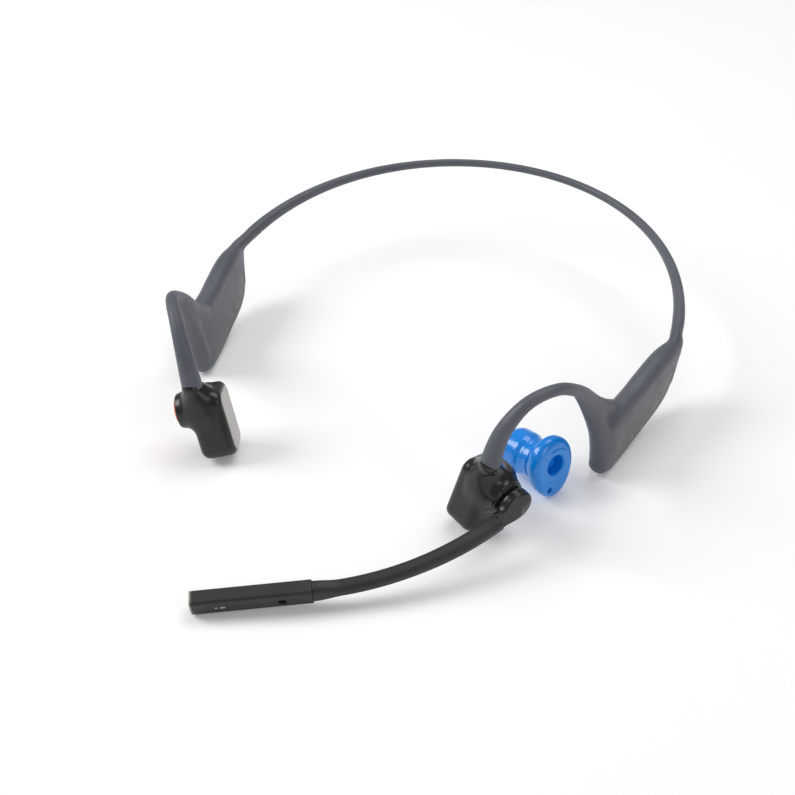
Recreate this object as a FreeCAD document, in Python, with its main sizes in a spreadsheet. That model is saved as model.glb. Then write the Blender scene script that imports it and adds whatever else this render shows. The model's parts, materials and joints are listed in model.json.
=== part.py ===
"""Bone conduction headphones with a swinging microphone boom.

Millimetres. +Z is up from the surface the headset rests on, +Y points to the
back of the head, +X is the wearer's left. The origin is on that surface, under
the middle of the whole object.
"""
import math
import os

import FreeCAD
import Part
import Sketcher

os.makedirs("parts", exist_ok=True)
doc = FreeCAD.newDocument("headset")
Vector = FreeCAD.Vector
Rotation = FreeCAD.Rotation
Placement = FreeCAD.Placement
X_AXIS = Vector(1, 0, 0)
Y_AXIS = Vector(0, 1, 0)
Z_AXIS = Vector(0, 0, 1)
OVAL_POINTS = 12
WIRE_RUNS = 14
TINY = 1e-4

# ---------------------------------------------------------------- driving dimensions
SIZES = {
    # neckband: an arc round the nape that sinks towards its ends
    "band_radius": 74.0, "band_back_height": 30.7, "band_sink_even": 7.0, "band_sink_curved": 3.8,
    "band_end_angle": 83.3, "band_thick_back": 2.3, "band_tall_back": 2.6,
    "band_thick_end": 4.0, "band_tall_end": 4.6, "wire_diameter": 1.0,
    # pods behind the ears
    "pod_spacing": 130.0, "pod_front": -7.17, "pod_length": 45.0, "pod_tall": 24.6,
    "pod_thick": 6.6, "pod_yaw": 10.5, "pod_lean": 5.0,
    "case_length": 29.0, "case_tall": 14.0, "case_thick": 4.6, "case_wall": 0.6,
    "case_start": 3.5, "case_low": 5.6,
    # hook over the ear
    "hook_rise": 42.4, "hook_thick_top": 3.3, "hook_wide_top": 3.6,
    "hook_thick_neck": 6.8, "hook_wide_neck": 6.0,
    # transducer housing
    "housing_long": 20.5, "housing_deep": 13.0, "housing_thick": 10.6,
    "housing_side": 41.3, "housing_ahead": 33.0, "housing_yaw": 25.1, "housing_tilt": 11.3,
    "housing_roll": 12.3, "housing_corner": 3.5, "housing_edge": 2.8, "housing_wall": 1.3, "pad_thick": 1.2,
    "cover_thick": 2.6, "cover_floor": 0.8, "axis_up": 5.0, "axis_back": 0.3, "boss_base_radius": 6.0,
    "boss_top_radius": 4.9, "boss_tall": 3.8,
    # transducer
    "yoke_radius": 4.6, "yoke_wall": 0.5, "yoke_tall": 3.4, "magnet_radius": 2.5,
    "coil_thick": 1.0, "coil_tall": 2.0, "plate_thick": 0.4, "air_gap": 0.3,
    # boom
    "hub_radius": 4.7, "hub_tall": 5.5, "hub_edge": 1.6, "axle_radius": 2.0, "axle_long": 4.2,
    "running_gap": 0.05, "face_gap": 0.2, "washer_thick": 0.15,
    "boom_turn": -65.6, "boom_bend_radius": 88.0, "boom_root": 4.2, "boom_arm": 55.0, "boom_flare": 6.0,
    "arm_thick": 3.7, "arm_tall": 4.1, "core_diameter": 1.2,
    "capsule_long": 31.5, "capsule_deep": 4.5, "capsule_tall": 5.8, "capsule_wall": 0.8,
    "capsule_edge": 0.9, "ring_long": 1.2, "mic_radius": 1.3, "mic_tall": 1.0, "port_radius": 0.8,
    "side_port_place": 8.0, "side_port_low": 0.3, "end_mic_radius": 1.0, "mesh_thick": 0.15,
    # buttons
    "button_depth": 3.1, "switch_tall": 1.4, "disc_radius": 3.75, "disc_thick": 1.0,
    "disc_stand": 0.65, "press_travel": 0.4,
    "button_gap": 0.1, "volume_long": 4.2, "volume_wide": 2.0, "volume_tall": 1.3,
    "volume_pitch": 5.4, "volume_slope": 120.0, "volume_depth": 2.6, "volume_sunk": 0.7,
    # boards and cell
    "board_thick": 0.6, "cell_thick": 2.6, "fit_gap": 0.3, "pin_radius": 0.9,
    "pin_pitch": 4.0, "shield_long": 9.0, "shield_tall": 7.4, "shield_thick": 1.2,
    "chip_side": 5.0, "chip_thick": 0.9, "aerial_tall": 1.4, "aerial_thick": 1.0, "guard_long": 1.6,
    # loose earplug
    "plug_side": 54.6, "plug_ahead": 14.3, "plug_yaw": 27.0, "plug_droop": 6.0,
    "plug_flange_long": 19.0, "plug_flange_wide": 14.6, "plug_flange_thick": 4.6,
    "plug_stem_radius": 4.2, "plug_stem_long": 3.0, "plug_tip_radius": 6.3,
    "plug_tip_long": 11.0, "plug_bore_radius": 2.4,
}

sheet = doc.addObject("Spreadsheet::Sheet", "Sizes")
for row, (alias, number) in enumerate(SIZES.items(), start=1):
    sheet.set("A%d" % row, alias)
    sheet.set("B%d" % row, str(number))
    sheet.setAlias("B%d" % row, alias)
doc.recompute()


def size(alias):
    """Read one driving dimension back from the sheet."""
    return float(sheet.get(alias))


def bind(feature, prop, formula):
    """Tie a property to the sheet; formula is written with bare aliases in braces."""
    feature.setExpression(prop, formula.replace("{", "Sizes.").replace("}", ""))


# ---------------------------------------------------------------- sketch and solid helpers
nodes = {}


def keep(piece, label):
    """Register a document object as the exported sub-part of that name."""
    piece.Label = label
    nodes[label] = piece
    return piece


def new_body(name, place):
    body = doc.addObject("PartDesign::Body", name)
    body.Placement = place
    return body


def new_sketch(body, role, name, offset=0.0):
    sketch = body.newObject("Sketcher::SketchObject", name)
    plane = [part for part in body.Origin.OriginFeatures if part.Role == role][0]
    sketch.AttachmentSupport = (plane, [""])
    sketch.MapMode = "FlatFace"
    sketch.AttachmentOffset = Placement(Vector(0, 0, offset), Rotation())
    return sketch


def add_circle(sketch, formula, x=0.0, y=0.0):
    """A circle whose radius is tied to the sheet, at a fixed place."""
    index = sketch.addGeometry(Part.Circle(Vector(x, y, 0), Z_AXIS, 1.0))
    rule = sketch.addConstraint(Sketcher.Constraint("Radius", index, 1.0))
    bind(sketch, "Constraints[%d]" % rule, formula)


def add_rectangle(sketch, wide, tall):
    """A rectangle centred on the sketch origin, both sides tied to the sheet."""
    corners = [Vector(-1, -1, 0), Vector(1, -1, 0), Vector(1, 1, 0), Vector(-1, 1, 0)]
    first = sketch.GeometryCount
    for here, there in zip(corners, corners[1:] + corners[:1]):
        sketch.addGeometry(Part.LineSegment(here, there))
    for step in range(4):
        sketch.addConstraint(Sketcher.Constraint("Coincident", first + step, 2,
                                                 first + (step + 1) % 4, 1))
    sketch.addConstraint(Sketcher.Constraint("Horizontal", first))
    sketch.addConstraint(Sketcher.Constraint("Horizontal", first + 2))
    sketch.addConstraint(Sketcher.Constraint("Vertical", first + 1))
    sketch.addConstraint(Sketcher.Constraint("Vertical", first + 3))
    sketch.addConstraint(Sketcher.Constraint("Symmetric", first, 1, first + 1, 2, -1, 1))
    across = sketch.addConstraint(Sketcher.Constraint("DistanceX", first, 1, first, 2, 2.0))
    bind(sketch, "Constraints[%d]" % across, wide)
    upward = sketch.addConstraint(Sketcher.Constraint("DistanceY", first + 1, 1, first + 1, 2, 2.0))
    bind(sketch, "Constraints[%d]" % upward, tall)


def add_slot(sketch, half_thick, low, high):
    """An upright slot with round ends, from low to high."""
    lower = Vector(0, low + half_thick, 0)
    upper = Vector(0, high - half_thick, 0)
    sketch.addGeometry(Part.ArcOfCircle(Part.Circle(upper, Z_AXIS, half_thick), 0, math.pi))
    sketch.addGeometry(Part.LineSegment(upper - X_AXIS * half_thick, lower - X_AXIS * half_thick))
    sketch.addGeometry(Part.ArcOfCircle(Part.Circle(lower, Z_AXIS, half_thick), math.pi, 2 * math.pi))
    sketch.addGeometry(Part.LineSegment(lower + X_AXIS * half_thick, upper + X_AXIS * half_thick))
    for here, there in ((0, 1), (1, 2), (2, 3), (3, 0)):
        sketch.addConstraint(Sketcher.Constraint("Coincident", here, 2, there, 1))


def pad(body, sketch, formula, backwards=False):
    feature = body.newObject("PartDesign::Pad", "Pad")
    feature.Profile = sketch
    feature.Reversed = backwards
    bind(feature, "Length", formula)
    doc.recompute()
    return feature


def edge_names(shape, wanted):
    """Names of the edges of a shape that a test accepts."""
    return ["Edge%d" % (number + 1) for number, edge in enumerate(shape.Edges) if wanted(edge)]


def round_edges(body, wanted, formula):
    """Fillet the edges of the body's last feature that a test accepts."""
    last = body.Tip
    feature = body.newObject("PartDesign::Fillet", "Fillet")
    feature.Base = (last, edge_names(last.Shape, wanted))
    bind(feature, "Radius", formula)
    doc.recompute()
    return feature


def is_upright(edge):
    return edge.BoundBox.ZLength > TINY and edge.BoundBox.XLength + edge.BoundBox.YLength < TINY


def is_lengthwise(edge):
    return edge.BoundBox.XLength > TINY and edge.BoundBox.YLength + edge.BoundBox.ZLength < TINY


def at_height(level):
    """A test for the edges that lie flat at one level."""
    def lies_there(edge):
        return edge.BoundBox.ZLength < TINY and abs(edge.BoundBox.ZMin - level) < TINY
    return lies_there


def long_at_height(level):
    """A test for the lengthwise edges at one level."""
    def lies_there(edge):
        return is_lengthwise(edge) and at_height(level)(edge)
    return lies_there


def slab(name, place, length, width, thick, corner=None):
    """A flat rectangular piece, padded along local Z."""
    body = new_body(name, place)
    outline = new_sketch(body, "XY_Plane", "outline")
    add_rectangle(outline, length, width)
    pad(body, outline, thick)
    if corner:
        round_edges(body, is_upright, corner)
    return body


def disc(name, place, radius, thick, bore=None):
    """A round piece padded along local Z, with an optional bore."""
    body = new_body(name, place)
    outline = new_sketch(body, "XY_Plane", "outline")
    add_circle(outline, radius)
    if bore:
        add_circle(outline, bore)
    pad(body, outline, thick)
    return body


def cut(name, base, tools):
    """Base without the tools, as a parametric boolean."""
    for number, tool in enumerate(tools):
        feature = doc.addObject("Part::Cut", "%s_%d" % (name, number))
        feature.Base = base
        feature.Tool = tool
        base = feature
    doc.recompute()
    return base


def join(name, pieces):
    feature = doc.addObject("Part::MultiFuse", name)
    feature.Shapes = pieces
    doc.recompute()
    return feature


def mirrored(label, source):
    """The same piece on the wearer's right."""
    feature = doc.addObject("Part::Mirroring", label)
    feature.Source = source
    feature.Base = Vector(0, 0, 0)
    feature.Normal = X_AXIS
    doc.recompute()
    return keep(feature, label)


def lofted(name, stations, straight=False):
    """A solid through ovals, smooth or in straight runs: (centre, tangent, side, half side, half other)."""
    shares = [step / OVAL_POINTS for step in range(OVAL_POINTS + 1)]
    wires = []
    for centre, tangent, side, half_side, half_other in stations:
        along = Vector(tangent).normalize()
        across = Vector(side) - along * side.dot(along)
        across.normalize()
        other = along.cross(across)
        corners = []
        for step in range(OVAL_POINTS):
            turn = 2 * math.pi * step / OVAL_POINTS
            corners.append(centre + across * (half_side * math.cos(turn))
                           + other * (half_other * math.sin(turn)))
        outline = Part.BSplineCurve()
        outline.interpolate(Points=corners, PeriodicFlag=True, Parameters=shares)
        wires.append(Part.Wire([outline.toShape()]))
    feature = doc.addObject("Part::Feature", name)
    feature.Shape = Part.makeLoft(wires, True, straight)
    return feature


# ---------------------------------------------------------------- frames of the three modules
def pod_frame():
    """X runs back along the pod, Y inwards, Z up the pod's side."""
    half = size("pod_thick") / 2
    lean = math.radians(size("pod_lean"))
    lift = half * (1 - math.cos(lean))
    turn = Rotation(Z_AXIS, 90 - size("pod_yaw")) * Rotation(X_AXIS, size("pod_lean"))
    return Placement(Vector(size("pod_spacing") / 2, size("pod_front"), lift), turn)


def housing_turn():
    return (Rotation(Z_AXIS, -size("housing_yaw")) * Rotation(Y_AXIS, size("housing_tilt"))
            * Rotation(X_AXIS, -size("housing_roll")))


def housing_frame():
    """X runs down the housing, Y back, Z outwards; its rounded corner touches the surface."""
    turn = housing_turn()
    corner = size("housing_corner")
    edge = size("housing_edge")
    outward = turn.multVec(X_AXIS)
    back = turn.multVec(Y_AXIS)
    upward = turn.multVec(Z_AXIS)
    height = (abs(upward.z) * (size("housing_long") / 2 - corner)
              + abs(back.z) * (size("housing_deep") / 2 - corner)
              + math.hypot(upward.z, back.z) * (corner - edge)
              + abs(outward.z) * (size("housing_thick") / 2 - edge) + edge)
    ahead = size("pod_front") - size("housing_ahead")
    return Placement(Vector(size("housing_side"), ahead, height), turn * Rotation(Y_AXIS, 90))


POD = pod_frame()
HOUSING = housing_frame()
INNER_FACE = -size("housing_thick") / 2
OUTER_FACE = size("housing_thick") / 2
BOSS_TOP = OUTER_FACE + size("boss_tall")
AXIS_X = -size("axis_up")
AXIS_Y = -size("axis_back")


def in_housing(x, y, z):
    return HOUSING.multiply(Placement(Vector(x, y, z), Rotation()))


def on_axis(z):
    return in_housing(AXIS_X, AXIS_Y, z)


def in_pod(x, y, z, turn=None):
    return POD.multiply(Placement(Vector(x, y, z), turn or Rotation()))


# ---------------------------------------------------------------- pods
def pod_solid():
    """The closed outer form of a pod: upright slots lofted from nose to band."""
    body = new_body("pod_form", POD)
    tall = size("pod_tall")
    half = size("pod_thick") / 2
    length = size("pod_length")
    band_half = size("band_thick_end") / 2
    band_middle = band_joint_height()
    band_low = band_middle - size("band_tall_end") / 2
    band_high = band_middle + size("band_tall_end") / 2
    stations = [
        (-3.8, 0.50 * half, 3.4, 0.52 * tall),
        (-2.2, 0.86 * half, 1.1, 0.71 * tall),
        (2.0, half, 0.05, 0.88 * tall),
        (12.0, half, 0.5, 0.90 * tall),
        (0.45 * length, half, 1.5, 0.94 * tall),
        (0.67 * length, half, 3.0, 0.985 * tall),
        (0.82 * length, 0.93 * half, 6.2, tall),
        (0.90 * length, 0.80 * half, 12.5, tall),
        (length, band_half, band_low, band_high),
    ]
    sections = []
    for number, (place, half_thick, low, high) in enumerate(stations):
        sketch = new_sketch(body, "YZ_Plane", "section%d" % number, place)
        add_slot(sketch, half_thick, low, high)
        sections.append(sketch)
    feature = body.newObject("PartDesign::AdditiveLoft", "Loft")
    feature.Profile = sections[0]
    feature.Sections = sections[1:]
    feature.Ruled = False
    doc.recompute()
    return body


def band_height(angle):
    """The neckband sinks from its back to its ends, faster near them."""
    flat = 1 - math.cos(math.radians(angle))
    return size("band_back_height") - size("band_sink_even") * flat - size("band_sink_curved") * flat ** 2


def band_point(angle):
    """Centre of the neckband at an angle from its back, in degrees."""
    turn = math.radians(angle)
    radius = size("band_radius")
    return Vector(radius * math.sin(turn), band_centre_y() + radius * math.cos(turn), band_height(angle))


def pod_end():
    """Where the pod's tail meets the neckband, in the pod's own direction."""
    return POD.multVec(Vector(size("pod_length"), 0, 0))


def band_joint_height():
    """Height of the band's centre above the pod's base line, along the pod's side."""
    height = band_height(size("band_end_angle"))
    return (height - pod_end().z) / math.cos(math.radians(size("pod_lean")))


def band_centre_y():
    """Centre of the band's arc, so that the band ends at the pod's tail."""
    return pod_end().y - size("band_radius") * math.cos(math.radians(size("band_end_angle")))


CASE_MIDDLE_X = size("case_start") + size("case_length") / 2
CASE_MIDDLE_Z = size("case_low") + size("case_tall") / 2
FACE_OUT = Rotation(X_AXIS, 90)
FACE_IN = Rotation(X_AXIS, -90)


def in_case(along, above, outwards, turn=None):
    """A place in the pod's case: along it, above its middle, outwards from its middle plane."""
    return in_pod(CASE_MIDDLE_X + along, -outwards, CASE_MIDDLE_Z + above, turn or FACE_OUT)


def case_half(label, turn):
    """Half of the hard case: a tray whose open side lies in the pod's middle plane."""
    block = slab(label + "_block", in_case(0, 0, 0, turn), "{case_length}", "{case_tall}",
                 "{case_thick} / 2", "{case_wall} * 2")
    room = slab(label + "_room", in_case(0, 0, 0, turn), "{case_length} - 2 * {case_wall}",
                "{case_tall} - 2 * {case_wall}", "{case_thick} / 2 - {case_wall}", "{case_wall}")
    return cut(label, block, [room])


# ---------------------------------------------------------------- band
def band_stations(thick, tall):
    stations = []
    for step in range(-10, 11):
        angle = size("band_end_angle") * step / 10
        share = abs(step / 10) ** 2.2
        tangent = band_point(angle + 0.5) - band_point(angle - 0.5)
        half_thick = (thick[0] + (thick[1] - thick[0]) * share) / 2
        half_tall = (tall[0] + (tall[1] - tall[0]) * share) / 2
        stations.append((band_point(angle), tangent, Z_AXIS, half_tall, half_thick))
    return stations


# ---------------------------------------------------------------- hook
def hook_points():
    """Centreline of the left hook from the housing's neck over the ear to the pod."""
    top = size("hook_rise")
    front = size("pod_front")
    side = size("pod_spacing") / 2
    neck = HOUSING.multVec(Vector(-size("housing_long") / 2 - 1.8, -4.4, 2.2))
    return [
        neck,
        Vector(side - 17.4, front - 34.5, 0.80 * top),
        Vector(side - 12.7, front - 29.6, 0.97 * top),
        Vector(side - 7.3, front - 22.6, top),
        Vector(side - 3.9, front - 14.6, 0.89 * top),
        Vector(side - 2.1, front - 6.2, 0.69 * top),
        Vector(side - 0.2, front + 2.4, 0.46 * top),
    ]


def hook_plane():
    """The normal of the plane that the hook nearly lies in."""
    points = hook_points()
    return (points[-1] - points[0]).cross(points[3] - points[0]).normalize()


def hook_curve():
    curve = Part.BSplineCurve()
    curve.interpolate(hook_points())
    return curve


def hook_stations(halves):
    curve = hook_curve()
    stations = []
    for point, (thick, wide) in zip(hook_points(), halves):
        tangent = curve.tangent(curve.parameter(point))[0]
        stations.append((point, tangent, hook_plane(), wide, thick))
    return stations


def hook_wire_stations():
    """Evenly spaced stations of the spring wire inside the hook."""
    curve = hook_curve()
    radius = size("wire_diameter") / 2
    stations = []
    for step in range(WIRE_RUNS + 1):
        place = curve.FirstParameter + (curve.LastParameter - curve.FirstParameter) * step / WIRE_RUNS
        stations.append((curve.value(place), curve.tangent(place)[0], hook_plane(), radius, radius))
    return stations


def hook_skin_halves():
    top = (size("hook_thick_top") / 2, size("hook_wide_top") / 2)
    neck = (size("hook_thick_neck") / 2, size("hook_wide_neck") / 2)
    blend = []
    for share in (1.0, 0.52, 0.12, 0.0, 0.14, 0.50, 1.25):
        blend.append((top[0] + (neck[0] - top[0]) * share, top[1] + (neck[1] - top[1]) * share * 0.8))
    return blend


# ---------------------------------------------------------------- band, pods and hooks
pod_form = pod_solid()
pod_form_right = doc.addObject("Part::Mirroring", "pod_form_right")
pod_form_right.Source = pod_form
pod_form_right.Normal = X_AXIS
case_room = slab("case_room", in_case(0, 0, -size("case_thick") / 2), "{case_length}", "{case_tall}",
                 "{case_thick}", "{case_wall} * 2")

band_form = lofted("band_form", band_stations((size("band_thick_back"), size("band_thick_end")),
                                              (size("band_tall_back"), size("band_tall_end"))))
band_wire = lofted("band_wire", band_stations((size("wire_diameter"), size("wire_diameter")),
                                              (size("wire_diameter"), size("wire_diameter"))), True)
keep(cut("band_wire_cut", band_wire, [pod_form, pod_form_right]), "neckband_wire")
keep(cut("band_cut", band_form, [pod_form, pod_form_right, band_wire]), "neckband_skin")

hook_form = lofted("hook_form", hook_stations(hook_skin_halves()))
hook_core = lofted("hook_core", hook_wire_stations(), True)


def neck_form():
    """The neck that carries the housing below the hook's end."""
    top = hook_stations(hook_skin_halves())[0]
    base = HOUSING.multVec(Vector(-size("housing_long") / 2 + 3.0, -1.8, 0.8))
    middle = HOUSING.multVec(Vector(-size("housing_long") / 2 + 0.4, -3.2, 1.5))
    upward = HOUSING.Rotation.multVec(-X_AXIS)
    return lofted("neck_form", [
        (base, upward, top[2], 4.6, 4.2),
        (middle, upward, top[2], 0.5 * (4.4 + top[3]), 0.5 * (4.2 + top[4])),
        top,
    ])


# ---------------------------------------------------------------- transducer housing
def housing_shell(name, inner_tools):
    """Outer shell: a rounded block with a round boss and the neck, hollowed for the transducer."""
    depth = "{housing_thick} - {pad_thick} - {cover_thick}"
    base_z = INNER_FACE + size("pad_thick") + size("cover_thick")
    block = slab(name + "_block", in_housing(0, 0, base_z), "{housing_long}", "{housing_deep}",
                 depth, "{housing_corner}")
    top_level = size("housing_thick") - size("pad_thick") - size("cover_thick")
    round_edges(block, at_height(top_level), "{housing_edge}")
    boss = doc.addObject("Part::Cone", name + "_boss")
    bind(boss, "Radius1", "{boss_base_radius}")
    bind(boss, "Radius2", "{boss_top_radius}")
    bind(boss, "Height", "{boss_tall} + {housing_corner}")
    boss.Placement = on_axis(OUTER_FACE - size("housing_corner"))
    form = join(name + "_joined", [block, boss, neck_form()])
    foot = slab(name + "_foot", in_housing(0, 0, INNER_FACE), "{housing_long}", "{housing_deep}",
                "{pad_thick} + {cover_thick}", "{housing_corner}")
    room = slab(name + "_room", in_housing(0, 0, base_z), "{housing_long} - 2 * {housing_wall} - 1",
                "{housing_deep} - 2 * {housing_wall}", depth + " - {housing_wall}", "{housing_corner} - 1")
    return form, cut(name, form, [foot, room] + inner_tools)


def bore(name, z, radius, length):
    """A round cutter on the hub's axis."""
    cylinder = doc.addObject("Part::Cylinder", name)
    bind(cylinder, "Radius", radius)
    bind(cylinder, "Height", length)
    cylinder.Placement = on_axis(z)
    return cylinder


AXLE_START = BOSS_TOP - size("axle_long")
BUTTON_FLOOR = BOSS_TOP - size("button_depth")

left_form, left_shell = housing_shell("shell_left", [
    bore("axle_bore", AXLE_START - 0.1, "{axle_radius} + {running_gap}", "{axle_long} + 1")])
keep(left_shell, "housing_shell_left")
right_form, right_shell = housing_shell("shell_right_source", [
    bore("disc_recess", BUTTON_FLOOR, "{disc_radius} + {button_gap}", "{boss_tall} + 2")])
mirrored("housing_shell_right", right_shell)

hook_skin = cut("hook_skin", hook_form, [pod_form, left_form, hook_core])
keep(hook_skin, "hook_skin_left")
mirrored("hook_skin_right", hook_skin)
hook_wire = cut("hook_wire", hook_core, [pod_form, left_form])
keep(hook_wire, "hook_wire_left")
mirrored("hook_wire_right", hook_wire)


def housing_pieces(side):
    """The pieces that both housings share, built on the left and mirrored for the right."""
    cover_z = INNER_FACE + size("pad_thick")
    skin = slab("skin_pad_" + side, in_housing(0, 0, INNER_FACE), "{housing_long}", "{housing_deep}",
                "{pad_thick}", "{housing_corner}")
    round_edges(skin, at_height(0.0), "{pad_thick} * 0.8")
    cover_block = slab("cover_block_" + side, in_housing(0, 0, cover_z), "{housing_long}",
                       "{housing_deep}", "{cover_thick}", "{housing_corner}")
    plate_z = cover_z + size("cover_floor")
    cover_room = slab("cover_room_" + side, in_housing(0, 0, plate_z),
                      "{housing_long} - 2 * {housing_wall}", "{housing_deep} - 2 * {housing_wall}",
                      "{cover_thick}", "{housing_corner} - {housing_wall}")
    plate = disc("plate_" + side, in_housing(0, 0, plate_z), "{yoke_radius}", "{plate_thick}")
    coil_z = plate_z + size("plate_thick")
    coil_out = "{yoke_radius} - {yoke_wall} - {air_gap}"
    coil = disc("coil_" + side, in_housing(0, 0, coil_z), coil_out, "{coil_tall}",
                coil_out + " - {coil_thick}")
    yoke_z = coil_z + size("air_gap")
    cup = disc("cup_" + side, in_housing(0, 0, yoke_z), "{yoke_radius}", "{yoke_tall}")
    cup_room = disc("cup_room_" + side, in_housing(0, 0, yoke_z), "{yoke_radius} - {yoke_wall}",
                    "{yoke_tall} - {yoke_wall}")
    magnet = disc("magnet_" + side, in_housing(0, 0, yoke_z), "{magnet_radius}",
                  "{yoke_tall} - {yoke_wall}")
    cover = cut("cover_" + side, cover_block, [cover_room])
    yoke = cut("yoke_" + side, cup, [cup_room])
    return {"skin_pad": skin, "housing_cover": cover, "vibration_plate": plate, "coil": coil,
            "yoke": yoke, "magnet": magnet}


for piece_name, piece in housing_pieces("source").items():
    keep(piece, piece_name + "_left")
    mirrored(piece_name + "_right", piece)

# ---------------------------------------------------------------- call button, on the right housing
plunger_z = BUTTON_FLOOR + size("switch_tall") + size("press_travel") + size("button_gap")
plunger = disc("plunger", on_axis(plunger_z), "{disc_radius} - 0.6",
               "{button_depth} + {disc_stand} - {disc_thick} - {switch_tall}"
               " - {press_travel} - {button_gap}")
mirrored("call_button_plunger", plunger)
orange = disc("orange", on_axis(BOSS_TOP + size("disc_stand") - size("disc_thick")),
              "{disc_radius}", "{disc_thick}")
round_edges(orange, at_height(size("disc_thick")), "0.3")
mirrored("call_button_disc", orange)
switch = disc("switch", on_axis(BUTTON_FLOOR), "{disc_radius} - 1", "{switch_tall}")
mirrored("call_switch", switch)

# ---------------------------------------------------------------- pods: skins, cases and contents
REAR_SLOPE = Rotation(Y_AXIS, size("volume_slope"))


def volume_place(step, depth):
    """A place on the pod's sloping rear edge; step is -1 or 1 along it, depth is outwards."""
    middle = Vector(size("pod_length") * 0.885, 0, 0.49 * size("pod_tall"))
    spot = middle + REAR_SLOPE.multVec(X_AXIS) * (step * size("volume_pitch") / 2)
    reach = REAR_SLOPE.multVec(Z_AXIS) * 12
    ray = Part.makeLine(POD.multVec(spot - reach), POD.multVec(spot + reach))
    inside = pod_form.Shape.common(ray)
    ends = [POD.inverse().multVec(vertex.Point) for vertex in inside.Vertexes]
    surface = max(ends, key=lambda point: point.x)
    out = REAR_SLOPE.multVec(Z_AXIS) * depth
    return in_pod(surface.x + out.x, 0, surface.z + out.z, REAR_SLOPE)


volume_rooms = []
volume_nodes = []
for step, word in ((-1, "up"), (1, "down")):
    room = slab("volume_room_" + word, volume_place(step, -size("volume_depth")),
                "{volume_long} + 2 * {button_gap}",
                "{volume_wide} + 2 * {button_gap}", "6", "{volume_wide} / 2")
    cap = slab("volume_cap_" + word, volume_place(step, -size("volume_sunk")), "{volume_long}",
               "{volume_wide}", "{volume_tall}", "{volume_wide} / 2 - 0.02")
    contact = slab("volume_contact_" + word, volume_place(step, -size("volume_depth")),
                   "{volume_long} - 0.6", "{volume_wide} - 0.4",
                   "{volume_depth} - {volume_sunk} - {press_travel} - {button_gap}")
    volume_rooms.append(room)
    mirrored("volume_button_" + word, cap)
    mirrored("volume_switch_" + word, contact)

pin_bores = []
for step, word in ((-1, "rear"), (1, "front")):
    along = -step * size("pin_pitch") / 2
    place = in_case(along, -3.0, -size("case_thick") / 2 + size("case_wall") - 0.1, FACE_IN)
    hole = doc.addObject("Part::Cylinder", "pin_bore_" + word)
    bind(hole, "Radius", "{pin_radius} + 0.02")
    hole.Height = 6
    hole.Placement = place
    pin_bores.append(hole)
    pin = disc("charge_pin_" + word, place, "{pin_radius}",
               "({pod_thick} - {case_thick}) / 2 + {case_wall} - 0.1")
    keep(pin, "charge_pin_" + word)

skin_left = cut("skin_left", pod_form, [case_room] + pin_bores)
keep(skin_left, "pod_skin_left")
skin_right = cut("skin_right_source", pod_form, [case_room] + volume_rooms)
mirrored("pod_skin_right", skin_right)

tray = case_half("tray", FACE_OUT)
lid = case_half("lid", FACE_IN)
keep(tray, "pod_tray_left")
mirrored("pod_tray_right", tray)
keep(cut("lid_left", lid, pin_bores), "pod_lid_left")
mirrored("pod_lid_right", lid)

ROOM_LONG = "{case_length} - 2 * {case_wall} - 2 * {fit_gap}"
ROOM_TALL = "{case_tall} - 2 * {case_wall} - 2 * {fit_gap}"
board_level = size("case_thick") / 2 - size("case_wall") - size("board_thick")
board = slab("board", in_case(0, 0, board_level), ROOM_LONG, ROOM_TALL, "{board_thick}", "0.8")
keep(board, "main_board")


def on_board(along, above, thick):
    """A place on the inner side of the main board for a part of that thickness."""
    return in_case(along, above, board_level - size(thick))


keep(slab("radio", on_board(5.5, 0, "shield_thick"), "{shield_long}", "{shield_tall}",
          "{shield_thick}", "0.5"), "radio_shield")
keep(slab("codec", on_board(-5.0, 0.5, "chip_thick"), "{chip_side}", "{chip_side}", "{chip_thick}"),
     "audio_chip")
aerial_above = size("case_tall") / 2 - size("case_wall") - size("fit_gap") - size("aerial_tall") / 2
keep(slab("aerial", on_board(0, aerial_above, "aerial_thick"), "{case_length} * 0.7", "{aerial_tall}",
          "{aerial_thick}"), "antenna_strip")
guard_long = size("guard_long")
cell = slab("cell", in_case(guard_long / 2, 0, -size("cell_thick") / 2),
            ROOM_LONG + " - {guard_long} - {fit_gap}", ROOM_TALL, "{cell_thick}", "1.2")
mirrored("battery_cell", cell)
guard_along = size("case_wall") + size("fit_gap") + (guard_long - size("case_length")) / 2
guard = slab("guard", in_case(guard_along, 0, -size("cell_thick") / 3), "{guard_long}",
             ROOM_TALL + " - 2", "{cell_thick} * 2 / 3")
mirrored("cell_guard_board", guard)

# ---------------------------------------------------------------- microphone boom
BOOM = on_axis(0).multiply(Placement(Vector(0, 0, 0), Rotation(Z_AXIS, size("boom_turn"))))
HUB_Z = BOSS_TOP + size("face_gap")
ARM_Z = HUB_Z + size("hub_tall") * 0.6


def in_boom(x, y, z, turn=None):
    return BOOM.multiply(Placement(Vector(x, y, z), turn or Rotation()))


def boom_point(distance):
    """Boom centreline at a distance from the hub's axis: an arc that bends to the mouth."""
    radius = size("boom_bend_radius")
    length = distance - size("boom_root")
    turn = length / radius
    return Vector(size("boom_root") + radius * math.sin(turn), 0, ARM_Z - radius * (1 - math.cos(turn)))


def boom_tangent(distance):
    turn = (distance - size("boom_root")) / size("boom_bend_radius")
    return Vector(math.cos(turn), 0, -math.sin(turn))


def boom_stations(marks):
    stations = []
    for distance, half_tall, half_thick in marks:
        centre = BOOM.multVec(boom_point(distance))
        tangent = BOOM.Rotation.multVec(boom_tangent(distance))
        side = BOOM.Rotation.multVec(Y_AXIS)
        stations.append((centre, tangent, side, half_tall, half_thick))
    return stations


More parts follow.
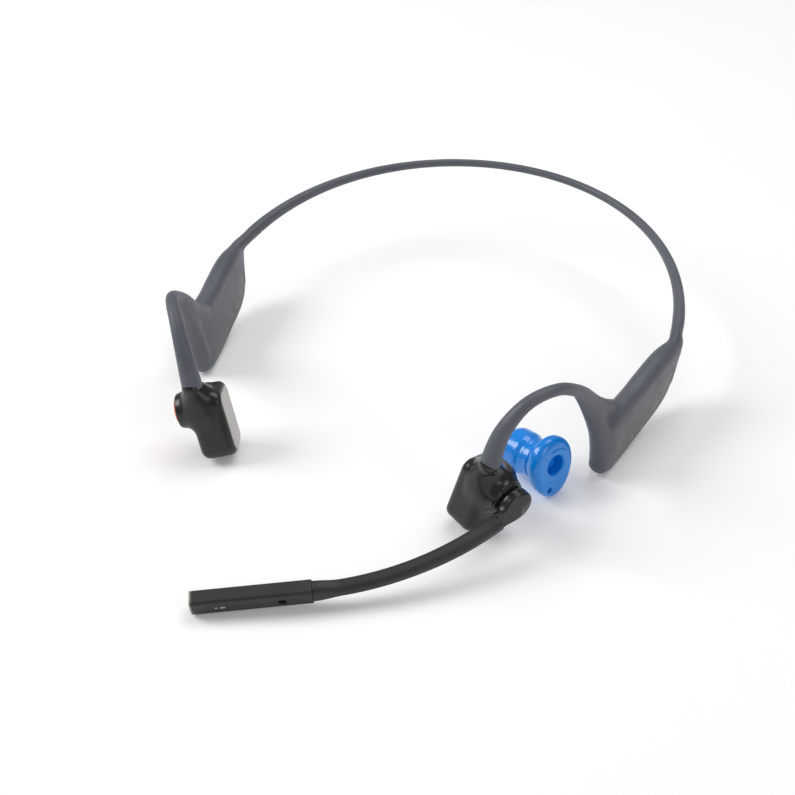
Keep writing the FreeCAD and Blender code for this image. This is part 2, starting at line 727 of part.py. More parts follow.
arm_start = size("boom_root")
arm_end = arm_start + size("boom_arm")
half_tall = size("arm_tall") / 2
half_thick = size("arm_thick") / 2
arm_marks = []
for number in range(9):
    distance = arm_start + (size("boom_arm") - size("boom_flare")) * number / 8
    swell = 1.0 + 0.12 * (1 - number / 8) ** 2
    arm_marks.append((distance, half_tall * swell, half_thick * swell))
arm_marks.append((arm_end - size("boom_flare") * 0.45, half_tall * 1.12, half_thick * 1.06))
arm_marks.append((arm_end, size("capsule_tall") / 2 * 0.97, size("capsule_deep") / 2 * 0.97))
arm_form = lofted("arm_form", boom_stations(arm_marks))
core_half = size("core_diameter") / 2
core_marks = [(distance, core_half, core_half) for distance, tall, thick in arm_marks]
boom_core = lofted("boom_core", boom_stations(core_marks), True)

hub = disc("hub", on_axis(HUB_Z), "{hub_radius}", "{hub_tall}")
round_edges(hub, at_height(size("hub_tall")), "{hub_edge}")
axle = disc("axle", on_axis(AXLE_START), "{axle_radius}", "{axle_long} + {face_gap}")
keep(hub, "boom_hub")
keep(axle, "boom_axle")
washer = disc("washer", on_axis(BOSS_TOP), "{hub_radius} - 0.4", "{washer_thick}",
              "{axle_radius} + {running_gap}")
keep(washer, "friction_washer")
keep(cut("arm", arm_form, [hub, boom_core]), "boom_arm")
keep(cut("core", boom_core, [hub]), "boom_core_wire")

# capsule frame: X along the capsule, Y down its tall side, Z to its front
bend = math.degrees(size("boom_arm") / size("boom_bend_radius"))
tip = boom_point(arm_end)
CAPSULE = in_boom(tip.x, tip.y, tip.z, Rotation(Y_AXIS, bend))


def in_capsule(x, y, z, turn=None):
    return CAPSULE.multiply(Placement(Vector(x, y, z), turn or Rotation()))


SHELL_LONG = "({capsule_long} - {ring_long})"
shell_middle = (size("capsule_long") - size("ring_long")) / 2


def capsule_half(label, facing):
    """Front or rear half of the capsule, open towards the other half."""
    turn = Rotation() if facing > 0 else Rotation(X_AXIS, 180)
    block = slab(label + "_block", in_capsule(shell_middle, 0, 0, turn), SHELL_LONG,
                 "{capsule_tall}", "{capsule_deep} / 2")
    round_edges(block, long_at_height(size("capsule_deep") / 2), "{capsule_edge}")
    room = slab(label + "_room", in_capsule(shell_middle, 0, 0, turn),
                SHELL_LONG + " - 2 * {capsule_wall}", "{capsule_tall} - 2 * {capsule_wall}",
                "{capsule_deep} / 2 - {capsule_wall}")
    return block, room


front_block, front_room = capsule_half("capsule_front", 1)
rear_block, rear_room = capsule_half("capsule_rear", -1)
port_x = size("side_port_place")
port_y = size("side_port_low")
side_port = doc.addObject("Part::Cylinder", "side_port")
bind(side_port, "Radius", "{port_radius}")
bind(side_port, "Height", "{capsule_deep}")
side_port.Placement = in_capsule(port_x, port_y, 0)
end_turn = Rotation(Y_AXIS, 90)
end_start = size("capsule_long") - size("ring_long")
end_port = doc.addObject("Part::Cylinder", "end_port")
bind(end_port, "Radius", "{port_radius}")
bind(end_port, "Height", "2 * {ring_long} + {capsule_wall}")
end_port.Placement = in_capsule(end_start - size("ring_long"), 0, 0, end_turn)
keep(cut("front_half", front_block, [front_room, side_port, end_port]), "capsule_front")
keep(cut("rear_half", rear_block, [rear_room, end_port]), "capsule_rear")
ring_block = slab("ring_block", in_capsule(end_start + size("ring_long") / 2, 0,
                                           -size("capsule_deep") / 2),
                  "{ring_long}", "{capsule_tall}", "{capsule_deep}")
round_edges(ring_block, is_lengthwise, "{capsule_edge}")
keep(cut("end_ring", ring_block, [end_port]), "capsule_end_ring")

board_z = -size("capsule_deep") / 2 + size("capsule_wall")
keep(slab("mic_board", in_capsule(shell_middle, 0, board_z),
          SHELL_LONG + " - 2 * {capsule_wall} - 2 * {fit_gap}",
          "{capsule_tall} - 2 * {capsule_wall} - {fit_gap}", "{board_thick}"), "mic_board")
mic_z = board_z + size("board_thick")
keep(disc("side_mic", in_capsule(port_x, port_y, mic_z), "{mic_radius}", "{mic_tall}"), "side_mic")
end_mic_x = end_start - size("capsule_wall") - size("running_gap") - size("mic_tall")
end_mic_z = mic_z + size("running_gap") + size("end_mic_radius")
keep(disc("end_mic", in_capsule(end_mic_x, 0, end_mic_z, end_turn), "{end_mic_radius}", "{mic_tall}"),
     "end_mic")
mesh_z = size("capsule_deep") / 2 - size("capsule_wall") - size("mesh_thick")
keep(disc("side_mesh", in_capsule(port_x, port_y, mesh_z), "{port_radius} * 1.5", "{mesh_thick}"),
     "side_mic_mesh")

# ---------------------------------------------------------------- loose earplug
RIM_SHARE = 0.38
flange_half = size("plug_flange_long") / 2
droop = math.radians(size("plug_droop"))
plug_ahead = size("pod_front") - size("plug_ahead")
rim_flat = size("plug_flange_thick") * (0.5 - RIM_SHARE)
plug_height = flange_half * math.cos(droop) + rim_flat * math.sin(droop)
PLUG = Placement(Vector(size("plug_side"), plug_ahead, plug_height),
                 Rotation(Z_AXIS, -size("plug_yaw")) * Rotation(Y_AXIS, -90 - size("plug_droop")))


def in_plug(z):
    """Z runs from the flange's face into the tip."""
    return PLUG.multiply(Placement(Vector(0, 0, z), Rotation()))


def plug_flange():
    body = new_body("plug_flange", in_plug(-size("plug_flange_thick") / 2))
    outline = new_sketch(body, "XY_Plane", "outline")
    long_half = size("plug_flange_long") / 2
    wide_half = size("plug_flange_wide") / 2
    oval = Part.Ellipse(Vector(long_half, 0, 0), Vector(0, wide_half, 0), Vector(0, 0, 0))
    index = outline.addGeometry(oval)
    outline.exposeInternalGeometry(index)
    add_circle(outline, "{plug_bore_radius}")
    pad(body, outline, "{plug_flange_thick}")
    outer = lambda edge: edge.Length > 3 * size("plug_flange_wide") * 0.8
    round_edges(body, outer, "{plug_flange_thick} * %.2f" % RIM_SHARE)
    return body


keep(plug_flange(), "earplug_flange")
stem_start = size("plug_flange_thick") / 2
keep(disc("stem", in_plug(stem_start), "{plug_stem_radius}", "{plug_stem_long}", "{plug_bore_radius}"),
     "earplug_stem")
tip_start = stem_start + size("plug_stem_long")
dome = disc("dome", in_plug(tip_start), "{plug_tip_radius}", "{plug_tip_long}")
round_edges(dome, at_height(size("plug_tip_long")), "{plug_tip_radius} * 0.8")
keep(dome, "earplug_tip")
keep(disc("filter", in_plug(stem_start - 1.6), "{plug_bore_radius} - 0.02", "{plug_stem_long} + 1.6"),
     "earplug_filter")

# ---------------------------------------------------------------- check and export
doc.recompute()
for item in doc.Objects:
    if "Invalid" in item.State or "Error" in item.State:
        raise RuntimeError("failed feature: %s %s" % (item.Name, item.State))
for label, piece in nodes.items():
    shape = piece.Shape
    if shape.isNull() or not shape.isValid() or shape.Volume <= 0:
        raise RuntimeError("bad solid: " + label)
    if len(shape.Solids) != 1:
        print("solids", label, len(shape.Solids))
    shape.exportStep("parts/%s.step" % label)
whole = FreeCAD.BoundBox()
for piece in nodes.values():
    whole.add(piece.Shape.optimalBoundingBox(False, False))
print(len(nodes), "nodes", whole)
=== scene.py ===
import json
import math

import bmesh
import bpy
import numpy as np
from mathutils import Matrix, Vector


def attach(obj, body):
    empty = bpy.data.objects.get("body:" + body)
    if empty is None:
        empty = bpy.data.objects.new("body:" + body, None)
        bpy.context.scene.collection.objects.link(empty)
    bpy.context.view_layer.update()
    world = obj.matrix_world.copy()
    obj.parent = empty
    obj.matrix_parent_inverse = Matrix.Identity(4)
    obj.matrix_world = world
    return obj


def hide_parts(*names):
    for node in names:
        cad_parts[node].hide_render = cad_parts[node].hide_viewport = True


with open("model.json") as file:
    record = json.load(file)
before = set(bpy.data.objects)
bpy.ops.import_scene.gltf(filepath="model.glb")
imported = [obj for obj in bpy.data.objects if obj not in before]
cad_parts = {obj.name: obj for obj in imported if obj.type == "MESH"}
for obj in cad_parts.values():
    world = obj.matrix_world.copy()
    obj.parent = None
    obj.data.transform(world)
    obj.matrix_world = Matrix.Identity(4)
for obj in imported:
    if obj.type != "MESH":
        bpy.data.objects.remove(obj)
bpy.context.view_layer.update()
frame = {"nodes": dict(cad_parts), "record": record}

MM = 0.001
FULL_TURN = 2 * math.pi


# ---------------------------------------------------------------- frames, in millimetres
def turned(axis, degrees):
    return Matrix.Rotation(math.radians(degrees), 4, axis)


def moved(x, y, z):
    return Matrix.Translation((x, y, z))


POD = moved(65.0, -7.17, 0.0126) @ turned("Z", 79.5) @ turned("X", 5.0)
HOUSING = (moved(41.3, -40.17, 11.0702) @ turned("Z", -25.1) @ turned("Y", 11.3)
           @ turned("X", -12.3) @ turned("Y", 90))
HALF_LONG, HALF_DEEP, HALF_THICK = 10.25, 6.5, 5.3
AXIS_X, AXIS_Y = -5.0, -0.3
BOSS_TOP = 9.1
HUB_FLOOR = 9.3
HUB_TOP = 13.9
ARM_LEVEL = 12.6
ARM_ROOT, ARM_LONG, ARM_BEND = 4.2, 55.0, 88.0
BOOM = HOUSING @ moved(AXIS_X, AXIS_Y, 0) @ turned("Z", -65.6)
BEND_TURN = ARM_LONG / ARM_BEND
CAPSULE = (BOOM @ moved(ARM_ROOT + ARM_BEND * math.sin(BEND_TURN), 0,
                        ARM_LEVEL - ARM_BEND * (1 - math.cos(BEND_TURN)))
           @ turned("Y", math.degrees(BEND_TURN)))
PLUG = moved(54.6, -21.47, 9.5057) @ turned("Z", -27) @ turned("Y", -96)


def in_frame(place, points):
    """Points given in a frame, as row-frame millimetres."""
    grid = np.asarray(points, float)
    matrix = np.array(place)
    return grid @ matrix[:3, :3].T + matrix[:3, 3]


def into_frame(place, points):
    matrix = np.array(place)
    return (np.asarray(points, float) - matrix[:3, 3]) @ matrix[:3, :3]


# ---------------------------------------------------------------- meshes
def finished(name, points, faces, material, body, slot, stands_for=()):
    """A piece whose points are in row-frame millimetres, riding on a body."""
    mesh = bpy.data.meshes.new(name)
    mesh.from_pydata((np.asarray(points, float) * MM).tolist(), [], [tuple(face) for face in faces])
    mesh.update()
    piece = bpy.data.objects.new(name, mesh)
    bpy.context.scene.collection.objects.link(piece)
    mesh.materials.append(material)
    mesh.polygons.foreach_set("use_smooth", [True] * len(mesh.polygons))
    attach(piece, body)
    if stands_for:
        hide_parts(*stands_for)
    return piece


def other_side(points, faces):
    """The same mesh for the wearer's right."""
    flipped = np.array(points, float)
    flipped[:, 0] *= -1
    return flipped, [tuple(reversed(face)) for face in faces]


def relaxed(points, faces, rounds, strength=0.5, regain=1.02):
    """Points evened out over their neighbours; regain gives back what that shrinks."""
    links = set()
    for face in faces:
        for here, there in zip(face, face[1:] + face[:1]):
            links.add((min(here, there), max(here, there)))
    links = np.array(sorted(links))
    points = np.array(points, float)
    count = np.zeros(len(points))
    np.add.at(count, links[:, 0], 1)
    np.add.at(count, links[:, 1], 1)
    for step in range(rounds):
        for share in (strength, -strength * regain):
            total = np.zeros_like(points)
            np.add.at(total, links[:, 0], points[links[:, 1]])
            np.add.at(total, links[:, 1], points[links[:, 0]])
            points = points + share * (total / count[:, None] - points)
    return points


def sculpted(field, low, high, step, rounds=3):
    """The closed surface where a distance field is zero: (points, four-cornered faces)."""
    low = np.array(low, float)
    size = [int(round((h - l) / step)) + 1 for l, h in zip(low, high)]
    steps = np.meshgrid(*[np.arange(n) for n in size], indexing="ij")
    grid = low + step * np.stack(steps, -1)
    value = field(grid)
    cells = tuple(n - 1 for n in size)
    total = np.zeros(cells + (3,))
    count = np.zeros(cells)

    def corner(shift):
        return value[tuple(slice(d, d + n) for d, n in zip(shift, cells))]

    for axis in range(3):
        first, second = [a for a in range(3) if a != axis]
        for near in range(4):
            start = [0, 0, 0]
            start[first], start[second] = near % 2, near // 2
            end = list(start)
            end[axis] = 1
            here, there = corner(start), corner(end)
            crosses = (here < 0) != (there < 0)
            gap = np.where(crosses, here - there, 1.0)
            share = np.where(crosses, here / gap, 0.0)
            for way in range(3):
                total[..., way] += crosses * start[way] + (share if way == axis else 0.0)
            count += crosses
    used = count > 0
    index = -np.ones(cells, int)
    index[used] = np.arange(int(used.sum()))
    points = low + step * (np.argwhere(used) + total[used] / count[used][:, None])
    faces = []
    inside = value < 0
    for axis in range(3):
        b, c = (axis + 1) % 3, (axis + 2) % 3
        near = [slice(None)] * 3
        near[axis] = slice(0, -1)
        near[b] = near[c] = slice(1, -1)
        far = list(near)
        far[axis] = slice(1, None)
        starts, ends = inside[tuple(near)], inside[tuple(far)]
        spots = np.argwhere(starts != ends)
        outward = starts[tuple(spots.T)]
        spots[:, b] += 1
        spots[:, c] += 1
        loops = []
        for back_b, back_c in ((1, 1), (0, 1), (0, 0), (1, 0)):
            cell = spots.copy()
            cell[:, b] -= back_b
            cell[:, c] -= back_c
            loops.append(index[tuple(cell.T)])
        loops = np.stack(loops, 1)
        loops[~outward] = loops[~outward][:, ::-1]
        faces += [tuple(int(i) for i in face) for face in loops]
    return relaxed(points, faces, rounds), faces


# ---------------------------------------------------------------- distance fields
def ramp(value, low, high):
    """Rises smoothly from 0 at low to 1 at high."""
    share = np.clip((value - low) / (high - low), 0, 1)
    return share * share * (3 - 2 * share)


def merged(one, other, soft):
    """Two solids joined with a fillet of about that size."""
    share = np.clip(0.5 + 0.5 * (other - one) / soft, 0, 1)
    return other * (1 - share) + one * share - soft * share * (1 - share)


def hollowed(solid, tool, soft):
    return -merged(-solid, tool, soft)


def round_outline(points, half_x, half_y, corner):
    """Distance to a rectangle with round corners, in the plane of the first two axes."""
    x = np.abs(points[..., 0]) - (half_x - corner)
    y = np.abs(points[..., 1]) - (half_y - corner)
    return np.hypot(np.maximum(x, 0), np.maximum(y, 0)) + np.minimum(np.maximum(x, y), 0) - corner


def raised(outline, level, low, high, edge):
    """An outline made solid between two levels, with round rims."""
    rise = np.abs(level - (low + high) / 2) - (high - low) / 2
    a, b = outline + edge, rise + edge
    return np.hypot(np.maximum(a, 0), np.maximum(b, 0)) + np.minimum(np.maximum(a, b), 0) - edge


def round_rod(points, start, end, start_radius, end_radius):
    start, end = np.array(start, float), np.array(end, float)
    way = end - start
    share = np.clip(((points - start) @ way) / (way @ way), 0, 1)
    nearest = start + share[..., None] * way
    return np.linalg.norm(points - nearest, axis=-1) - (start_radius + share * (end_radius - start_radius))


def ring(points, centre, radius, thick):
    offset = points - np.array(centre, float)
    return np.hypot(np.hypot(offset[..., 0], offset[..., 1]) - radius, offset[..., 2]) - thick


# ---------------------------------------------------------------- finishes
def node(tree, kind, **values):
    made = tree.nodes.new(kind)
    for key, value in values.items():
        if key in made.inputs:
            made.inputs[key].default_value = value
        else:
            setattr(made, key, value)
    return made


class Finish:
    """A procedural finish, built up step by step on one shader."""

    def __init__(self, name, shader):
        self.material = bpy.data.materials.new(name)
        self.material.use_nodes = True
        self.tree = self.material.node_tree
        self.tree.nodes.clear()
        self.shader = node(self.tree, "ShaderNodeBsdfPrincipled")
        for key, value in shader.items():
            self.shader.inputs[key].default_value = value
        out = node(self.tree, "ShaderNodeOutputMaterial")
        self.link(self.shader.outputs[0], out.inputs["Surface"])
        self.place = node(self.tree, "ShaderNodeTexCoord").outputs["Object"]

    def link(self, start, end):
        self.tree.links.new(start, end)

    def noise(self, scale, detail=3.0, rough=0.5, stretch=None):
        made = node(self.tree, "ShaderNodeTexNoise", Scale=scale, Detail=detail, Roughness=rough)
        place = self.place
        if stretch:
            mapping = node(self.tree, "ShaderNodeMapping", Scale=stretch)
            self.link(place, mapping.inputs["Vector"])
            place = mapping.outputs[0]
        self.link(place, made.inputs["Vector"])
        return made.outputs[0]

    def cells(self, scale, feature="F1"):
        made = node(self.tree, "ShaderNodeTexVoronoi", Scale=scale, feature=feature)
        self.link(self.place, made.inputs["Vector"])
        return made.outputs["Distance"]

    def between(self, value, low, high, to_low, to_high):
        made = node(self.tree, "ShaderNodeMapRange")
        for key, number in (("From Min", low), ("From Max", high), ("To Min", to_low), ("To Max", to_high)):
            made.inputs[key].default_value = number
        self.link(value, made.inputs["Value"])
        return made.outputs[0]

    def sums(self, operation, one, other):
        made = node(self.tree, "ShaderNodeMath", operation=operation)
        for socket, value in zip(made.inputs, (one, other)):
            if isinstance(value, float):
                socket.default_value = value
            else:
                self.link(value, socket)
        return made.outputs[0]

    def mixed(self, share, one, other):
        made = node(self.tree, "ShaderNodeMix", data_type="RGBA")
        self.link(share, made.inputs[0])
        for socket, colour in ((made.inputs[6], one), (made.inputs[7], other)):
            if isinstance(colour, tuple):
                socket.default_value = colour + (1.0,)
            else:
                self.link(colour, socket)
        return made.outputs[2]

    def attribute(self, name):
        return node(self.tree, "ShaderNodeAttribute", attribute_name=name).outputs["Fac"]

    def colour(self, socket):
        self.link(socket, self.shader.inputs["Base Color"])

    def roughness(self, socket):
        self.link(socket, self.shader.inputs["Roughness"])

    def bump(self, height, distance, strength=1.0):
        made = node(self.tree, "ShaderNodeBump", Strength=strength, Distance=distance)
        self.link(height, made.inputs["Height"])
        if self.shader.inputs["Normal"].links:
            self.link(self.shader.inputs["Normal"].links[0].from_socket, made.inputs["Normal"])
        self.link(made.outputs[0], self.shader.inputs["Normal"])


def silicone(name, dark, light, low_rough, high_rough, **shader):
    """Moulded silicone: faint cloudy tone, a fine eggshell grain and a soft sheen."""
    made = Finish(name, shader)
    cloud = made.between(made.noise(55.0, 4.0, 0.55), 0.35, 0.65, 0.0, 1.0)
    speck = made.between(made.noise(2600.0, 2.0, 0.6), 0.3, 0.7, -0.12, 0.12)
    made.colour(made.mixed(made.sums("ADD", cloud, speck), dark, light))
    made.roughness(made.between(made.noise(160.0, 3.0, 0.5), 0.3, 0.7, low_rough, high_rough))
    made.bump(made.noise(1900.0, 3.0, 0.6), 0.00002, 0.5)
    made.bump(made.noise(240.0, 2.0, 0.5), 0.00005, 0.3)
    return made


def plastic(name, dark, light, low_rough, high_rough, grain=0.00001, **shader):
    """Moulded plastic: slight tone changes, faint handling haze and a fine spark texture."""
    made = Finish(name, shader)
    made.colour(made.mixed(made.between(made.noise(90.0, 5.0, 0.6), 0.35, 0.65, 0.0, 1.0), dark, light))
    made.roughness(made.between(made.noise(75.0, 6.0, 0.65), 0.3, 0.7, low_rough, high_rough))
    made.bump(made.cells(3200.0), grain, 0.4)
    return made


def metal(name, dark, light, low_rough, high_rough, stretch):
    """Worked metal with fine lines along one direction."""
    made = Finish(name, {"Metallic": 1.0})
    lines = made.noise(900.0, 4.0, 0.6, stretch)
    made.colour(made.mixed(made.between(lines, 0.3, 0.7, 0.0, 1.0), dark, light))
    made.roughness(made.between(lines, 0.3, 0.7, low_rough, high_rough))
    made.bump(lines, 0.00001, 0.3)
    return made


SOFT = {"Specular IOR Level": 0.42, "Sheen Weight": 0.04, "Sheen Roughness": 0.45}
skin = silicone("grey silicone skin", (0.084, 0.092, 0.111), (0.103, 0.112, 0.133), 0.42, 0.54, **SOFT)
plate_share = skin.attribute("plate")
mark_share = skin.attribute("mark")
tone = skin.shader.inputs["Base Color"].links[0].from_socket
speckle = skin.between(skin.noise(700.0, 4.0, 0.7), 0.35, 0.7, 0.0, 1.0)
plate_tone = skin.mixed(speckle, (0.108, 0.104, 0.106), (0.150, 0.146, 0.150))
marked = skin.mixed(mark_share, plate_tone, (0.30, 0.31, 0.33))
skin.colour(skin.mixed(plate_share, tone, marked))
pad_silicone = silicone("pale pad silicone", (0.46, 0.44, 0.42), (0.55, 0.53, 0.50), 0.42, 0.55, **SOFT)
button_rubber = silicone("button rubber", (0.085, 0.09, 0.10), (0.105, 0.11, 0.12), 0.5, 0.6, **SOFT)
boom_rubber = silicone("boom rubber", (0.013, 0.012, 0.015), (0.020, 0.019, 0.023), 0.44, 0.56,
                       **{"Specular IOR Level": 0.45, "Sheen Weight": 0.03})
blue_silicone = silicone("blue earplug silicone", (0.0, 0.21, 0.72), (0.001, 0.26, 0.82), 0.12, 0.22,
                         **{"Specular IOR Level": 0.5, "Subsurface Weight": 0.08,
                            "Subsurface Scale": 0.004, "Coat Weight": 0.3, "Coat Roughness": 0.12})
black_gloss = plastic("satin black plastic", (0.0045, 0.0042, 0.0042), (0.0075, 0.007, 0.007), 0.22, 0.32,
                      **{"Specular IOR Level": 0.5})
grained_black = plastic("grained black plastic", (0.014, 0.014, 0.015), (0.022, 0.022, 0.023), 0.42, 0.54,
                        0.00003, **{"Specular IOR Level": 0.45})
grained_black.bump(grained_black.cells(1500.0, "SMOOTH_F1"), 0.00004, 0.45)
# The orange button also has a faint emission (strength 0.15): painted light that brightens the button where
# it sits in shade, though it is no lamp.
orange = plastic("orange button plastic", (0.97, 0.20, 0.006), (1.0, 0.25, 0.012), 0.3, 0.42,
                 **{"Specular IOR Level": 0.5, "Emission Color": (1.0, 0.22, 0.01, 1.0),
                    "Emission Strength": 0.15})
case_plastic = plastic("case plastic", (0.04, 0.04, 0.045), (0.055, 0.055, 0.06), 0.45, 0.6)
mic_mesh_black = plastic("microphone mesh", (0.002, 0.002, 0.002), (0.004, 0.004, 0.004), 0.7, 0.85)
print_grey = plastic("printed grey", (0.30, 0.33, 0.36), (0.38, 0.41, 0.45), 0.5, 0.6)
circuit_green = plastic("circuit board", (0.012, 0.09, 0.04), (0.02, 0.13, 0.06), 0.35, 0.5)
washer_dark = plastic("washer plastic", (0.016, 0.016, 0.017), (0.024, 0.024, 0.025), 0.4, 0.5)
wire_metal = metal("drawn wire", (0.45, 0.45, 0.47), (0.6, 0.6, 0.62), 0.25, 0.4, (1.0, 1.0, 6.0))
steel = metal("ground steel", (0.42, 0.42, 0.43), (0.56, 0.56, 0.57), 0.22, 0.38, (6.0, 1.0, 1.0))
ring_metal = metal("tip ring metal", (0.20, 0.18, 0.165), (0.30, 0.275, 0.25), 0.34, 0.48, (1.0, 6.0, 1.0))
copper = metal("coil copper", (0.62, 0.26, 0.12), (0.78, 0.38, 0.2), 0.3, 0.45, (1.0, 1.0, 9.0))
gold = metal("contact gold", (0.75, 0.5, 0.18), (0.9, 0.66, 0.3), 0.2, 0.32, (1.0, 1.0, 1.0))
foil = metal("cell foil", (0.5, 0.5, 0.52), (0.66, 0.66, 0.68), 0.3, 0.5, (2.0, 1.0, 1.0))

SLOT_FINISH = {
    "grey_silicone": skin, "pad_silicone": pad_silicone, "titanium_wire": wire_metal,
    "black_gloss": black_gloss, "boom_rubber": boom_rubber, "capsule_plastic": grained_black,
    "ring_metal": ring_metal, "orange_plastic": orange, "case_plastic": case_plastic,
    "copper": copper, "gold_contact": gold, "steel": steel, "cell_pouch": foil,
    "circuit_board": circuit_green, "small_metal": steel, "black_plastic": case_plastic,
    "button_rubber": button_rubber, "washer_plastic": washer_dark,
    "blue_silicone": blue_silicone, "filter_plastic": blue_silicone,
}
node_slot = {part["node"]: part["material_slot"] for part in frame["record"]["subparts"]}
for name, piece in frame["nodes"].items():
    piece.data.materials.clear()
    finish = mic_mesh_black if name == "side_mic_mesh" else SLOT_FINISH[node_slot[name]]
    piece.data.materials.append(finish.material)


# ---------------------------------------------------------------- swept pieces, by geometry nodes
def sweep_tree():
    """Sweeps an oval, or a squarer outline, along a curve with its own radius at each point."""
    tree = bpy.data.node_groups.new("swept outline", "GeometryNodeTree")
    face = tree.interface
    face.new_socket("Path", in_out="INPUT", socket_type="NodeSocketGeometry")
    for label, kind, start in (("Steps Along", "NodeSocketInt", 64), ("Steps Around", "NodeSocketInt", 32),
                               ("Height Ratio", "NodeSocketFloat", 1.1),
                               ("Corner Power", "NodeSocketFloat", 1.0),
                               ("Finish", "NodeSocketMaterial", None)):
        socket = face.new_socket(label, in_out="INPUT", socket_type=kind)
        if start is not None:
            socket.default_value = start
    face.new_socket("Swept", in_out="OUTPUT", socket_type="NodeSocketGeometry")
    start = tree.nodes.new("NodeGroupInput")
    end = tree.nodes.new("NodeGroupOutput")
    link = tree.links.new
    path = tree.nodes.new("GeometryNodeResampleCurve")
    link(start.outputs["Path"], path.inputs["Curve"])
    link(start.outputs["Steps Along"], path.inputs["Count"])
    outline = tree.nodes.new("GeometryNodeCurvePrimitiveCircle")
    outline.inputs["Radius"].default_value = 1.0
    link(start.outputs["Steps Around"], outline.inputs["Resolution"])
    spot = tree.nodes.new("GeometryNodeInputPosition")
    parts = tree.nodes.new("ShaderNodeSeparateXYZ")
    link(spot.outputs[0], parts.inputs[0])
    rebuilt = tree.nodes.new("ShaderNodeCombineXYZ")
    for axis in range(2):
        size = node(tree, "ShaderNodeMath", operation="ABSOLUTE")
        power = node(tree, "ShaderNodeMath", operation="POWER")
        way = node(tree, "ShaderNodeMath", operation="SIGN")
        signed = node(tree, "ShaderNodeMath", operation="MULTIPLY")
        link(parts.outputs[axis], size.inputs[0])
        link(size.outputs[0], power.inputs[0])
        link(start.outputs["Corner Power"], power.inputs[1])
        link(parts.outputs[axis], way.inputs[0])
        link(power.outputs[0], signed.inputs[0])
        link(way.outputs[0], signed.inputs[1])
        result = signed
        if axis == 1:
            result = node(tree, "ShaderNodeMath", operation="MULTIPLY")
            link(signed.outputs[0], result.inputs[0])
            link(start.outputs["Height Ratio"], result.inputs[1])
        link(result.outputs[0], rebuilt.inputs[axis])
    shaped = tree.nodes.new("GeometryNodeSetPosition")
    link(outline.outputs["Curve"], shaped.inputs["Geometry"])
    link(rebuilt.outputs[0], shaped.inputs["Position"])
    sweep = tree.nodes.new("GeometryNodeCurveToMesh")
    sweep.inputs["Fill Caps"].default_value = True
    link(path.outputs[0], sweep.inputs["Curve"])
    link(shaped.outputs[0], sweep.inputs["Profile Curve"])
    if "Scale" in sweep.inputs:
        radius = tree.nodes.new("GeometryNodeInputRadius")
        link(radius.outputs[0], sweep.inputs["Scale"])
    real = tree.nodes.new("GeometryNodeRealizeInstances")
    coat = tree.nodes.new("GeometryNodeSetMaterial")
    link(sweep.outputs[0], real.inputs[0])
    link(real.outputs[0], coat.inputs["Geometry"])
    link(start.outputs["Finish"], coat.inputs["Material"])
    link(coat.outputs[0], end.inputs[0])
    return tree


SWEEP = sweep_tree()


def swept(points, halves, along, around, ratio, power, finish, twist="Z_UP"):
    """Points and faces, in millimetres, of an outline swept along a smooth path."""
    curve = bpy.data.curves.new("path", "CURVE")
    curve.dimensions = "3D"
    curve.twist_mode = twist
    spline = curve.splines.new("NURBS")
    spline.points.add(len(points) - 1)
    for knot, point, half in zip(spline.points, points, halves):
        knot.co = tuple(point) + (1.0,)
        knot.radius = half
    spline.order_u = 4
    spline.use_endpoint_u = True
    spline.resolution_u = 12
    holder = bpy.data.objects.new("path", curve)
    bpy.context.scene.collection.objects.link(holder)
    modifier = holder.modifiers.new("sweep", "NODES")
    modifier.node_group = SWEEP
    values = {"Steps Along": along, "Steps Around": around, "Height Ratio": ratio,
              "Corner Power": power, "Finish": finish.material}
    for socket in SWEEP.interface.items_tree:
        if socket.item_type == "SOCKET" and socket.name in values:
            modifier[socket.identifier] = values[socket.name]
    bpy.context.view_layer.update()
    evaluated = holder.evaluated_get(bpy.context.evaluated_depsgraph_get())
    mesh = bpy.data.meshes.new_from_object(evaluated)
    bm = bmesh.new()
    bm.from_mesh(mesh)
    bmesh.ops.remove_doubles(bm, verts=bm.verts, dist=1e-4)
    bmesh.ops.recalc_face_normals(bm, faces=bm.faces)
    points = np.array([v.co for v in bm.verts])
    faces = [tuple(v.index for v in f.verts) for f in bm.faces]
    bm.free()
    bpy.data.objects.remove(holder)
    bpy.data.meshes.remove(mesh)
    return points, faces


# ---------------------------------------------------------------- the silicone skin
BAND_RADIUS, BAND_MIDDLE_Y, BAND_END = 74.0, 28.443, 83.3
BAND_THICK_BACK, BAND_THICK_END = 2.3, 4.0
BAND_STEPS = 20
BAND_OVERRUN = 1.012
BAND_TAIL = [(41.0, 0, 21.5), (36.5, 0, 20.2)]
BAND_TAIL_HALVES = [2.0, 1.7]


def band_spot(degrees):
    turn = math.radians(degrees)
    flat = 1 - math.cos(turn)
    return (BAND_RADIUS * math.sin(turn), BAND_MIDDLE_Y + BAND_RADIUS * math.cos(turn),
            30.7 - 7.0 * flat - 3.8 * flat ** 2)


def band_mesh():
    """The neckband from one side to the other, with each end buried in the tail of its pod."""
    knots, halves = [], []
    for step in range(-BAND_STEPS, BAND_STEPS + 1):
        share = abs(step / BAND_STEPS) ** 2.2
        knots.append(band_spot(BAND_END * BAND_OVERRUN * step / BAND_STEPS))
        halves.append((BAND_THICK_BACK + (BAND_THICK_END - BAND_THICK_BACK) * share) / 2)
    tail = in_frame(POD, BAND_TAIL)
    knots = [*(tail[::-1] * (-1, 1, 1)), *knots, *tail]
    halves = [*BAND_TAIL_HALVES[::-1], *halves, *BAND_TAIL_HALVES]
    return swept(knots, halves, 260, 32, 1.14, 1.0, skin)


